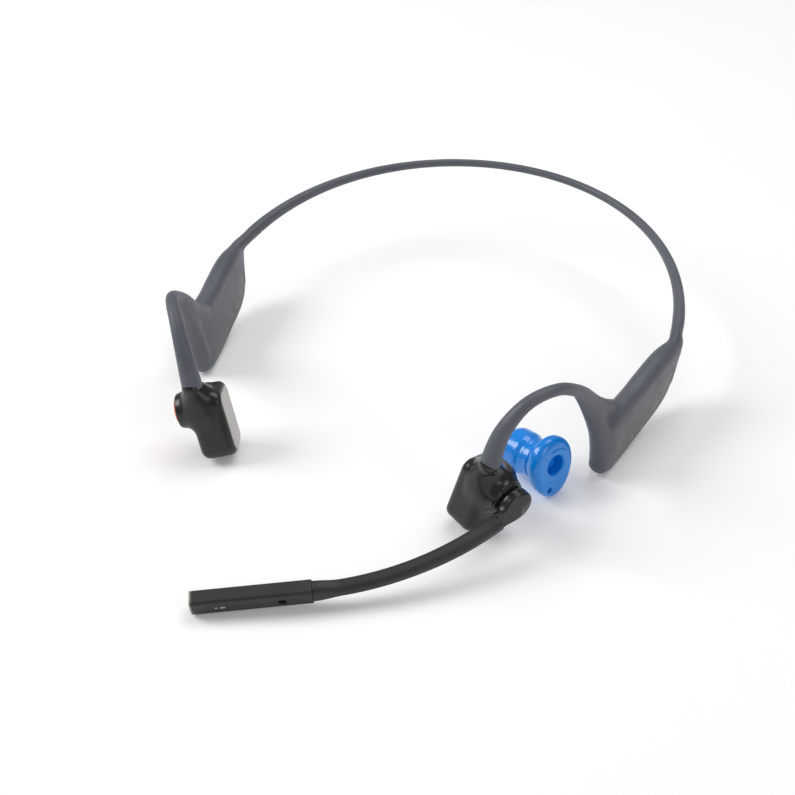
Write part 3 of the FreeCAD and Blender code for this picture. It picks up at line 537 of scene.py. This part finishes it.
POD_STATIONS = np.array([
    (-4.0, 1.10, 4.2, 16.6), (-3.8, 1.65, 3.4, 18.2), (-2.2, 2.84, 1.1, 20.6), (2.0, 3.3, 0.05, 22.0),
    (12.0, 3.3, 0.5, 22.1), (20.3, 3.3, 1.5, 23.1), (30.1, 3.3, 3.0, 24.0), (36.9, 3.0, 6.2, 23.5),
    (40.5, 2.4, 12.4, 22.9), (43.0, 1.9, 16.2, 22.8), (44.6, 1.2, 19.0, 22.4)])
AROUND = 40
POD_ROWS = 90


def eased(stations, places):
    """Each column of the stations at new places along the first, smooth and without overshoot."""
    x = stations[:, 0]
    at = np.clip(np.searchsorted(x, places, "right") - 1, 0, len(x) - 2)
    gap = x[at + 1] - x[at]
    t = (places - x[at]) / gap
    result = []
    for column in stations.T[1:]:
        slope = np.diff(column) / np.diff(x)
        before, after = slope[:-1], slope[1:]
        middle = np.where(before * after > 0, 2 * before * after / (before + after + 1e-12), 0)
        tangent = np.concatenate([[slope[0]], middle, [slope[-1]]])
        result.append((2 * t ** 3 - 3 * t ** 2 + 1) * column[at]
                      + (t ** 3 - 2 * t ** 2 + t) * gap * tangent[at]
                      + (3 * t ** 2 - 2 * t ** 3) * column[at + 1]
                      + (t ** 3 - t ** 2) * gap * tangent[at + 1])
    return np.array(result).T


def pod_mesh():
    """A pod, from stations of (along, half thickness, low edge, high edge)."""
    places = np.linspace(POD_STATIONS[0, 0], POD_STATIONS[-1, 0], POD_ROWS)
    rows = eased(POD_STATIONS, places)
    points = []
    for place, (half, low, high) in zip(places, rows):
        for step in range(AROUND):
            turn = FULL_TURN * step / AROUND
            level = (high - half) if math.sin(turn) >= 0 else (low + half)
            points.append((place, half * math.cos(turn), level + half * math.sin(turn)))
    faces = [tuple(reversed(range(AROUND))), tuple(range(len(points) - AROUND, len(points)))]
    for row in range(len(places) - 1):
        for step in range(AROUND):
            a, b = row * AROUND + step, row * AROUND + (step + 1) % AROUND
            faces.append((a, b, b + AROUND, a + AROUND))
    return in_frame(POD, points), faces


HOOK_KNOTS = np.array([
    (44.774, -43.71, 23.103), (47.6, -41.67, 33.92), (52.3, -36.77, 41.128), (57.7, -29.77, 42.4),
    (61.1, -21.77, 37.736), (62.9, -13.37, 29.256), (64.8, -4.77, 19.504)])
HOOK_HALVES = (3.1, 2.5, 1.95, 1.78, 2.05, 2.75, 3.6)


def through(knots, values, count):
    """A curve through the knots, with a value carried along it."""
    lengths = np.concatenate([[0], np.cumsum(np.linalg.norm(np.diff(knots, axis=0), axis=1))])
    places = np.linspace(0, lengths[-1], count)
    padded = np.vstack([2 * knots[0] - knots[1], knots, 2 * knots[-1] - knots[-2]])
    at = np.clip(np.searchsorted(lengths, places, "right") - 1, 0, len(knots) - 2)
    t = ((places - lengths[at]) / (lengths[at + 1] - lengths[at]))[:, None]
    p0, p1, p2, p3 = padded[at], padded[at + 1], padded[at + 2], padded[at + 3]
    spots = 0.5 * (2 * p1 + (p2 - p0) * t + (2 * p0 - 5 * p1 + 4 * p2 - p3) * t ** 2
                   + (3 * p1 - p0 - 3 * p2 + p3) * t ** 3)
    table = np.column_stack([lengths, values])
    return spots, eased(table, places)[:, 0]


def hook_mesh():
    """The hook, whose root widens along the pod but stays as thin as the pod."""
    spots, halves = through(HOOK_KNOTS, HOOK_HALVES, 40)
    points, faces = swept(spots, halves, 110, 32, 0.92, 1.0, skin, "MINIMUM")
    local = into_frame(POD, points)
    root = (1 - ramp(local[:, 2], 16.0, 36.0)) * ramp(local[:, 0], -18.0, -4.0)
    local[:, 0] += root * 0.5 * (local[:, 0] - 0.6)
    local[:, 1] *= 1 - 0.2 * root
    return in_frame(POD, local), faces


WEB_KNOTS = ((-0.9, 0.2, 5.5), (-2.1, 0.4, 12.0), (-4.0, 0.9, 18.0), (-6.6, 2.0, 24.0),
             (-9.8, 3.1, 29.8), (-12.8, 3.9, 33.9), (-16.2, 4.6, 37.9))
WEB_HALVES = (3.0, 3.05, 3.0, 2.7, 2.3, 1.75, 1.1)


def web_mesh():
    """The web that carries the underside of the hook down the front of the pod."""
    spots, halves = through(np.array(WEB_KNOTS), WEB_HALVES, 24)
    return swept(in_frame(POD, spots), halves, 80, 28, 1.0, 1.0, skin, "MINIMUM")


def joined(meshes):
    points, faces, start = [], [], 0
    for some_points, some_faces in meshes:
        points.append(some_points)
        faces += [tuple(i + start for i in face) for face in some_faces]
        start += len(some_points)
    return np.vstack(points), faces


def remeshed(points, faces, voxel):
    """One closed skin round several solids that overlap."""
    mesh = bpy.data.meshes.new("solids")
    mesh.from_pydata(points.tolist(), [], faces)
    holder = bpy.data.objects.new("solids", mesh)
    bpy.context.scene.collection.objects.link(holder)
    modifier = holder.modifiers.new("skin", "REMESH")
    modifier.mode = "VOXEL"
    modifier.voxel_size = voxel
    modifier.adaptivity = 0.0
    bpy.context.view_layer.update()
    evaluated = holder.evaluated_get(bpy.context.evaluated_depsgraph_get())
    result = bpy.data.meshes.new_from_object(evaluated)
    points = np.array([v.co for v in result.vertices])
    faces = [tuple(p.vertices) for p in result.polygons]
    bpy.data.objects.remove(holder)
    bpy.data.meshes.remove(result)
    return points, faces


PLATE_SINK, CONTACT_SINK = 0.28, 0.35
PALE_PATCHES = ((12.5, 5.4, 1.3, 1.5), (15.6, 6.0, 1.0, 1.0), (21.5, 7.2, 2.4, 1.3),
                (27.0, 8.4, 1.6, 2.2), (31.5, 9.6, 1.2, 1.4))


def skin_details(points, side):
    """Sinks the plate zone, and the contact pad on the left pod; returns the zones."""
    mirror = np.array([side, 1, 1])
    local = into_frame(POD, points * mirror)
    along, across, height = local.T
    top_inner = 15.4 - 0.30 * np.maximum(36 - along, 0) - 0.10 * np.maximum(13 - along, 0) ** 1.25
    top_outer = 15.8 - 0.05 * np.maximum(30 - along, 0) - 0.06 * np.maximum(13 - along, 0) ** 1.6
    top = np.where(across > 0, top_inner, top_outer)
    zone = (ramp(along, 1.5, 3.0) * (1 - ramp(along, 37.0, 38.0)) * (1 - ramp(height, top - 0.5, top + 0.1))
            * ramp(height, 1.6, 2.4) * ramp(np.abs(across), 1.2, 2.0))
    local[:, 1] -= np.sign(across) * zone * PLATE_SINK
    marks = np.zeros(len(points))
    for place, level, wide, tall in PALE_PATCHES:
        reach = np.hypot((along - place) / wide, (height - level) / tall)
        marks = np.maximum(marks, 0.2 * (1 - ramp(reach, 0.0, 1.5)))
    marks *= zone
    if side > 0:
        spot = np.hypot(np.maximum(np.abs(along - 18.0) - 2.0, 0), height - 9.6)
        sink = (1 - ramp(spot, 1.5, 2.0)) * (across > 0)
        local[:, 1] -= sink * CONTACT_SINK
    return in_frame(POD, local) * mirror, zone, marks


SKIN_STEP = 0.37
left_solids = [pod_mesh(), hook_mesh(), web_mesh()]
right_solids = [other_side(*solid) for solid in left_solids]
points, faces = remeshed(*joined([band_mesh()] + left_solids + right_solids), SKIN_STEP)
points = relaxed(points, faces, 14)
folded = points.copy()
folded[:, 0] = np.abs(folded[:, 0])
along, across, height = into_frame(POD, folded).T
pod_tail = ramp(along, 34, 39) * (1 - ramp(along, 46, 51))
hook_root = ramp(height, 12, 18) * (1 - ramp(along, 3, 8)) * ramp(along, -20, -14)
junction = np.maximum(pod_tail, hook_root)
points += junction[:, None] * (relaxed(points, faces, 30, 0.5, 0.0) - points)
zones, marks = np.zeros(len(points)), np.zeros(len(points))
for side in (1, -1):
    near = (points[:, 0] * side > 58) & (points[:, 1] < 42) & (points[:, 1] > -14)
    points[near], zone, mark = skin_details(points[near], side)
    zones[near], marks[near] = zone, mark
silicone_skin = finished("silicone_skin", points, faces, skin.material, "headset", "grey_silicone",
                         ("neckband_skin", "pod_skin_left", "pod_skin_right",
                          "hook_skin_left", "hook_skin_right"))
for name, values in (("plate", zones), ("mark", marks)):
    layer = silicone_skin.data.attributes.new(name, "FLOAT", "POINT")
    layer.data.foreach_set("value", values.astype(np.float32))


# ---------------------------------------------------------------- transducer housings
def housing_body(points, capped):
    """The shell: a rounded block whose boss and neck flow out of it."""
    outline = round_outline(points, HALF_LONG, HALF_DEEP, 3.5)
    solid = raised(outline, points[..., 2], -2 * HALF_THICK, HALF_THICK, 2.6)
    distance = np.hypot(points[..., 0] - AXIS_X, points[..., 1] - AXIS_Y)
    rise = np.clip((points[..., 2] - 5.3) / 3.8, 0, 1)
    boss = raised(distance - (5.9 - 0.9 * rise), points[..., 2], 0.0, BOSS_TOP, 0.45)
    solid = merged(solid, boss, 2.6)
    neck = round_rod(points, (-6.5, -1.6, 0.8), (-10.2, -3.3, 1.6), 4.3, 3.7)
    neck = merged(neck, round_rod(points, (-10.2, -3.3, 1.6), (-13.2, -4.7, 2.4), 3.7, 2.75), 0.6)
    solid = merged(solid, neck, 2.4)
    solid = hollowed(solid, points[..., 2] + HALF_THICK - 0.35, 2.2)
    if capped:
        well = raised(distance - 3.95, points[..., 2], BOSS_TOP - 1.2, BOSS_TOP + 6, 0.1)
        solid = hollowed(solid, well, 0.15)
    else:
        solid = hollowed(solid, ring(points, (AXIS_X, AXIS_Y, BOSS_TOP - 0.62), 4.98, 0.16), 0.1)
    return solid


def shell(capped):
    points, faces = sculpted(lambda grid: housing_body(grid, capped),
                             (-15.4, -9.2, -5.6), (11.2, 8.0, 10.0), 0.2, 2)
    return in_frame(HOUSING, points), faces


def pad_form(grid):
    outline = round_outline(grid, HALF_LONG - 1.5, HALF_DEEP - 1.5, 2.3)
    crown = 0.2 * np.clip(-outline / 5.0, 0, 1)
    return raised(outline, grid[..., 2], -HALF_THICK - crown + 0.2, -HALF_THICK + 0.9, 0.3)


for side_name, capped in (("left", False), ("right", True)):
    body_mesh = shell(capped)
    pad_points, pad_faces = sculpted(pad_form, (-10.8, -7.1, -5.9), (10.8, 7.1, -3.7), 0.2, 1)
    pad_mesh = in_frame(HOUSING, pad_points), pad_faces
    if side_name == "right":
        body_mesh, pad_mesh = other_side(*body_mesh), other_side(*pad_mesh)
    finished("housing_body_" + side_name, *body_mesh, black_gloss.material, "headset", "black_gloss",
             ("housing_shell_" + side_name, "housing_cover_" + side_name))
    finished("cheek_pad_" + side_name, *pad_mesh, pad_silicone.material, "headset", "pad_silicone",
             ("skin_pad_" + side_name,))


def button_form(grid):
    distance = np.hypot(grid[..., 0] - AXIS_X, grid[..., 1] - AXIS_Y)
    dome = 0.12 * np.clip(1 - distance / 3.75, 0, 1)
    return raised(distance - 3.75, grid[..., 2], BOSS_TOP - 0.35, BOSS_TOP + 0.53 + dome, 0.3)


button_mesh = sculpted(button_form, (-9.4, -4.7, 8.3), (-0.6, 4.1, 10.3), 0.12, 1)
button_mesh = other_side(in_frame(HOUSING, button_mesh[0]), button_mesh[1])
finished("call_button_cap", *button_mesh, orange.material, "call_button", "orange_plastic",
         ("call_button_disc",))

# ---------------------------------------------------------------- boom
SLEEVE_END = 7.2


def hub_form(grid):
    """The swivel hub in the boom's own frame: a drum whose sleeve runs out to the arm."""
    distance = np.hypot(grid[..., 0], grid[..., 1])
    drum = raised(distance - 4.75, grid[..., 2], HUB_FLOOR, HUB_TOP, 1.5)
    sleeve = round_outline(np.stack([grid[..., 1], grid[..., 2] - ARM_LEVEL + 0.1], -1), 2.35, 2.15, 1.5)
    sleeve = np.maximum(np.maximum(sleeve, grid[..., 0] - SLEEVE_END), -grid[..., 0])
    solid = merged(drum, sleeve, 1.3)
    facet = (grid[..., 2] - HUB_TOP + 0.3) + 0.32 * (grid[..., 0] * 0.35 - grid[..., 1] * 0.94 - 1.2)
    solid = -merged(-solid, -facet, 0.35)
    solid = hollowed(solid, ring(grid, (0, 0, HUB_FLOOR + 0.75), 4.78, 0.17), 0.1)
    return np.maximum(solid, HUB_FLOOR - grid[..., 2])


hub_points, hub_faces = sculpted(hub_form, (-5.4, -5.4, 8.9), (9.3, 5.4, 15.3), 0.16, 2)
finished("boom_hub_body", in_frame(BOOM, hub_points), hub_faces, black_gloss.material, "boom",
         "black_gloss", ("boom_hub",))


def arm_spot(distance):
    turn = (distance - ARM_ROOT) / ARM_BEND
    return (ARM_ROOT + ARM_BEND * math.sin(turn), 0, ARM_LEVEL - ARM_BEND * (1 - math.cos(turn)))


def arm_mesh():
    reach = np.linspace(SLEEVE_END - 0.35, ARM_ROOT + ARM_LONG, 60)
    knots = [arm_spot(distance) for distance in reach]
    halves = 1.86 + 0.16 * (1 - ramp(reach, 8, 40))
    points, faces = swept(knots, halves, 240, 48, 1.1, 0.74, boom_rubber, "MINIMUM")
    turn = np.arctan2(points[:, 0] - ARM_ROOT, points[:, 2] - ARM_LEVEL + ARM_BEND)
    along = ARM_ROOT + ARM_BEND * turn
    middle = np.array([arm_spot(distance) for distance in along])
    swell = ramp(along, ARM_ROOT + ARM_LONG - 7.5, ARM_ROOT + ARM_LONG - 0.4)
    grow = np.stack([1 + 0.10 * swell, 1 + 0.53 * swell, 1 + 0.10 * swell], 1)
    return middle + (points - middle) * grow, faces


arm_points, arm_faces = arm_mesh()
finished("boom_arm_skin", in_frame(BOOM, arm_points), arm_faces, boom_rubber.material, "boom",
         "boom_rubber", ("boom_arm",))

CAPSULE_LONG, CAPSULE_HALF_TALL, CAPSULE_HALF_DEEP = 30.85, 2.9, 2.25


def capsule_form(grid):
    section = np.stack([grid[..., 1], grid[..., 2]], -1)
    solid = raised(round_outline(section, CAPSULE_HALF_TALL, CAPSULE_HALF_DEEP, 0.95),
                   grid[..., 0], 0.06, CAPSULE_LONG, 0.16)
    port = round_rod(grid, (8.0, 0.3, 1.2), (8.0, 0.3, 5.0), 1.08, 1.08)
    solid = hollowed(solid, port, 0.25)
    tip = round_rod(grid, (CAPSULE_LONG - 1.5, 0, 0), (CAPSULE_LONG + 4, 0, 0), 0.8, 0.8)
    return hollowed(solid, tip, 0.15)


def tip_form(grid):
    section = np.stack([grid[..., 1], grid[..., 2]], -1)
    solid = raised(round_outline(section, CAPSULE_HALF_TALL, CAPSULE_HALF_DEEP, 0.95),
                   grid[..., 0], CAPSULE_LONG + 0.03, 31.5, 0.22)
    bore = round_rod(grid, (CAPSULE_LONG - 2, 0, 0), (CAPSULE_LONG + 5, 0, 0), 0.85, 0.85)
    return hollowed(solid, bore, 0.5)


points, faces = sculpted(capsule_form, (-0.4, -3.3, -2.7), (31.4, 3.3, 2.7), 0.15, 1)
finished("mic_capsule", in_frame(CAPSULE, points), faces, grained_black.material, "boom",
         "capsule_plastic", ("capsule_front", "capsule_rear"))


def print_form(grid):
    bar = raised(round_outline(grid - (23.2, 0, 0), 0.75, 0.34, 0.3), grid[..., 2],
                 CAPSULE_HALF_DEEP - 0.1, CAPSULE_HALF_DEEP + 0.03, 0.02)
    dot = raised(np.hypot(grid[..., 0] - 24.9, grid[..., 1]) - 0.34, grid[..., 2],
                 CAPSULE_HALF_DEEP - 0.1, CAPSULE_HALF_DEEP + 0.03, 0.02)
    return np.minimum(bar, dot)


points, faces = sculpted(print_form, (22.2, -0.7, 2.0), (25.5, 0.7, 2.5), 0.05, 0)
finished("capsule_print", in_frame(CAPSULE, points), faces, print_grey.material, "boom",
         "capsule_plastic")
points, faces = sculpted(tip_form, (30.5, -3.2, -2.6), (31.8, 3.2, 2.6), 0.1, 1)
finished("mic_tip_ring", in_frame(CAPSULE, points), faces, ring_metal.material, "boom",
         "ring_metal", ("capsule_end_ring",))


# ---------------------------------------------------------------- earplug
BORE_X, BORE_Y = 1.2, 0.4
DIMPLE_X, DIMPLE_Y = -5.9, -2.4


def flange_form(grid):
    """The broad end: an egg-shaped crowned pad with a bore, a dimple and raised marks."""
    lean = 1 + 0.14 * np.clip(grid[..., 0] / 9.5, -1, 1)
    outline = (np.hypot(grid[..., 0] / 9.45, grid[..., 1] / (7.25 * lean)) - 1) * 7.2
    solid = raised(outline, grid[..., 2], -2.35, 2.3, 1.95)
    solid = hollowed(solid, round_rod(grid, (BORE_X, BORE_Y, -6), (BORE_X, BORE_Y, -0.2), 3.4, 2.7), 0.9)
    dimple = round_rod(grid, (DIMPLE_X, DIMPLE_Y, -4), (DIMPLE_X, DIMPLE_Y, -1.8), 0.85, 0.85)
    solid = hollowed(solid, dimple, 0.35)
    around = np.arctan2(grid[..., 1] - BORE_Y, grid[..., 0] - BORE_X)
    arch = ring(grid, (BORE_X, BORE_Y, -2.3), 4.75, 0.36)
    arch = np.maximum(arch, np.abs(around) * 4 - 3.4)
    solid = merged(solid, arch, 0.3)
    low_arch = ring(grid, (DIMPLE_X, DIMPLE_Y, -2.25), 1.9, 0.2)
    low_around = np.arctan2(grid[..., 1] - DIMPLE_Y, grid[..., 0] - DIMPLE_X)
    return merged(solid, np.maximum(low_arch, np.abs(low_around) * 2 - 2.2), 0.25)


def tip_dome_form(grid):
    distance = np.hypot(grid[..., 0], grid[..., 1])
    dome = raised(distance - 6.3, grid[..., 2], 5.3, 16.3, 4.2)
    skirt = raised(distance - 5.5, grid[..., 2], 3.9, 7.0, 0.6)
    return merged(dome, skirt, 1.2)


def stem_form(grid):
    distance = np.hypot(grid[..., 0], grid[..., 1])
    return merged(raised(distance - 5.2, grid[..., 2], 1.7, 5.5, 0.2),
                  raised(distance - 5.6, grid[..., 2], 1.8, 2.6, 0.2), 0.8)


for name, form, low, high, stands_for in (
        ("earplug_pad", flange_form, (-10.0, -8.6, -3.0), (10.0, 8.6, 2.8), ("earplug_flange",)),
        ("earplug_neck", stem_form, (-6.2, -6.2, 1.2), (6.2, 6.2, 6.0), ("earplug_stem",)),
        ("earplug_dome", tip_dome_form, (-6.9, -6.9, 3.4), (6.9, 6.9, 16.9), ("earplug_tip",))):
    points, faces = sculpted(form, low, high, 0.16, 2)
    finished(name, in_frame(PLUG, points), faces, blue_silicone.material, "earplug",
             "blue_silicone", stands_for)

# ---------------------------------------------------------------- floor, light and camera
floor_finish = Finish("pale floor", {"Roughness": 0.75, "Specular IOR Level": 0.1,
                                     "Emission Color": (1.0, 1.0, 1.0, 1.0), "Emission Strength": 0.12})
floor_finish.colour(floor_finish.mixed(floor_finish.noise(8.0), (0.88, 0.88, 0.88), (0.92, 0.92, 0.92)))
bpy.ops.mesh.primitive_plane_add(size=6.0, location=(0, 0, -0.00005))
floor = bpy.context.object
floor.name = "floor"
floor.data.materials.append(floor_finish.material)

world = bpy.data.worlds.new("studio")
bpy.context.scene.world = world
world.use_nodes = True
world.node_tree.nodes["Background"].inputs["Color"].default_value = (1.0, 1.0, 1.0, 1.0)
world.node_tree.nodes["Background"].inputs["Strength"].default_value = 0.34


LIT_SPOT = (0, 0, 0.02)


def softbox(name, place, width, height, power):
    """A soft rectangular lamp that faces the object."""
    lamp = bpy.data.lights.new(name, "AREA")
    lamp.shape = "RECTANGLE"
    lamp.size, lamp.size_y, lamp.energy = width, height, power
    holder = bpy.data.objects.new(name, lamp)
    bpy.context.scene.collection.objects.link(holder)
    holder.location = place
    way = Vector(LIT_SPOT) - Vector(place)
    holder.rotation_euler = way.to_track_quat("-Z", "Y").to_euler()


softbox("key", (-0.70, -0.25, 0.65), 0.5, 0.5, 5.2)
softbox("top", (0.15, 0.35, 0.95), 0.9, 0.5, 4.0)
softbox("side", (0.75, -0.35, 0.4), 0.3, 0.6, 1.0)

camera_data = bpy.data.cameras.new("camera")
camera_data.lens = 63.53
camera_data.sensor_width = 36.0
camera_data.clip_start = 0.01
camera = bpy.data.objects.new("camera", camera_data)
bpy.context.scene.collection.objects.link(camera)
camera.matrix_world = Matrix(((0.9131, -0.2266, 0.3391, 0.1436), (0.4071, 0.5557, -0.7249, -0.3098),
                              (-0.0242, 0.7999, 0.5997, 0.2589), (0, 0, 0, 1)))
bpy.context.scene.camera = camera
bpy.context.scene.view_settings.view_transform = "Standard"
